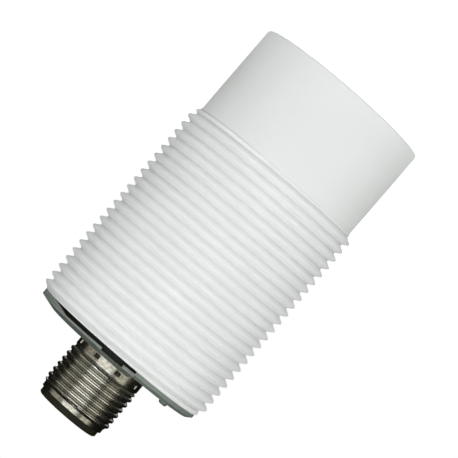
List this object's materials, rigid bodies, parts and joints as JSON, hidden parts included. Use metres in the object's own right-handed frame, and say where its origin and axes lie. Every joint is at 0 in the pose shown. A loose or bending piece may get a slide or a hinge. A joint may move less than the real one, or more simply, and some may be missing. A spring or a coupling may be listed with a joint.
{
  "type": "capacitive sensor",
  "caption": "Cylindrical capacitive proximity sensor with a smooth white sensing head, threaded barrel, rear cap with sensitivity adjuster, and round plug connector.",
  "frame": {"origin": "centre of the flat sensing face, which is the lowest face", "axes": "+Z along the barrel's axis from the sensing face to the plug connector, +X towards the raised half of the rear cap, -Y towards the side with the slot and notch in the cap's rim"},
  "size_m": [0.03, 0.03, 0.061],
  "materials": {
    "white_plastic": "machined white fluoropolymer, satin",
    "cap_plastic": "moulded grey-green plastic, slightly translucent",
    "black_rubber": "moulded black rubber",
    "nickel": "turned brass with a bright nickel plating",
    "black_plastic": "moulded black plastic",
    "gold": "gold-plated contact",
    "board_laminate": "green coated glass-fibre laminate",
    "black_resin": "cast black resin",
    "trimmer_plastic": "blue moulded case",
    "adjuster_brass": "turned brass",
    "led_yellow": "yellow indicator body",
    "led_green": "green indicator body",
    "clear_plastic": "clear moulded rod",
    "copper": "copper foil",
    "tinned_steel": "tinned sheet steel",
    "chip_plastic": "moulded chip case",
    "ceramic": "fired ceramic with tinned ends"
  },
  "bodies": {
    "sensor": {"housing": "white_plastic", "rear_cap": "cap_plastic", "cap_gasket": "black_rubber", "connector_sleeve": "nickel", "connector_seal": "black_rubber", "contact_carrier": "black_plastic", "contact_pin_1": "gold", "contact_pin_2": "gold", "contact_pin_3": "gold", "contact_pin_4": "gold", "contact_board": "board_laminate", "circuit_board": "board_laminate", "potting_plug": "black_resin", "trimmer_body": "trimmer_plastic", "output_led": "led_yellow", "power_led": "led_green", "light_guide": "clear_plastic", "electrode_disc": "copper", "electrode_ring": "copper", "electrode_board": "board_laminate", "board_spacer": "black_plastic", "shield_can": "tinned_steel", "oscillator_chip": "chip_plastic", "output_chip": "chip_plastic", "capacitors": "ceramic", "resistors": "chip_plastic"},
    "adjuster": {"adjuster_screw": "adjuster_brass", "adjuster_seal": "black_rubber", "trimmer_rotor": "adjuster_brass"}
  },
  "joints": [
    {"name": "adjuster_turn", "type": "hinge", "parent": "sensor", "child": "adjuster", "pos_m": [-0.00585, 0.00697, 0.0475], "axis": [0, 0, 1], "range_deg": [-135, 135]}
  ]
}
